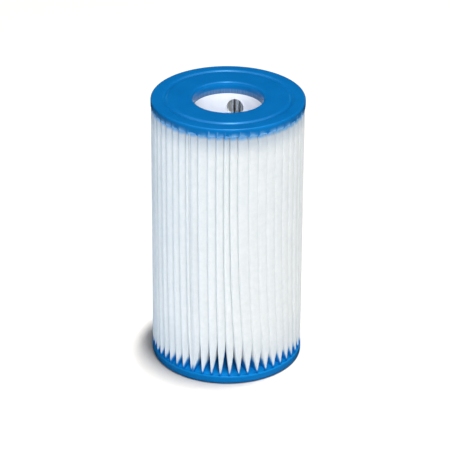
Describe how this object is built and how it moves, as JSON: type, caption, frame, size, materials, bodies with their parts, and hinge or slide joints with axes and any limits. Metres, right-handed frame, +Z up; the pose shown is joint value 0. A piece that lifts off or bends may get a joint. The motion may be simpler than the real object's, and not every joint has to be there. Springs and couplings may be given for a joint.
{
  "type": "pleated filter cartridge",
  "caption": "Cylindrical pleated water filter cartridge with two blue moulded end caps, open at both ends onto a white perforated core tube.",
  "frame": {"origin": "centre of the bottom cap's flat outer face, on the cartridge's axis", "axes": "+Z up along the axis to the top cap, -Y towards the front, +X to the right seen from the front"},
  "size_m": [0.108, 0.108, 0.2],
  "materials": {
    "core_plastic": "moulded satin white",
    "filter_sheet": "spun-bonded polyester, matt white",
    "hot_melt": "milky, semi-gloss",
    "cap_plastisol": "soft glossy blue plastisol"
  },
  "bodies": {
    "root": {"core_tube": "core_plastic", "pleated_media": "filter_sheet", "seam_bead": "hot_melt", "bottom_end_cap": "cap_plastisol", "top_end_cap": "cap_plastisol"}
  },
  "joints": []
}
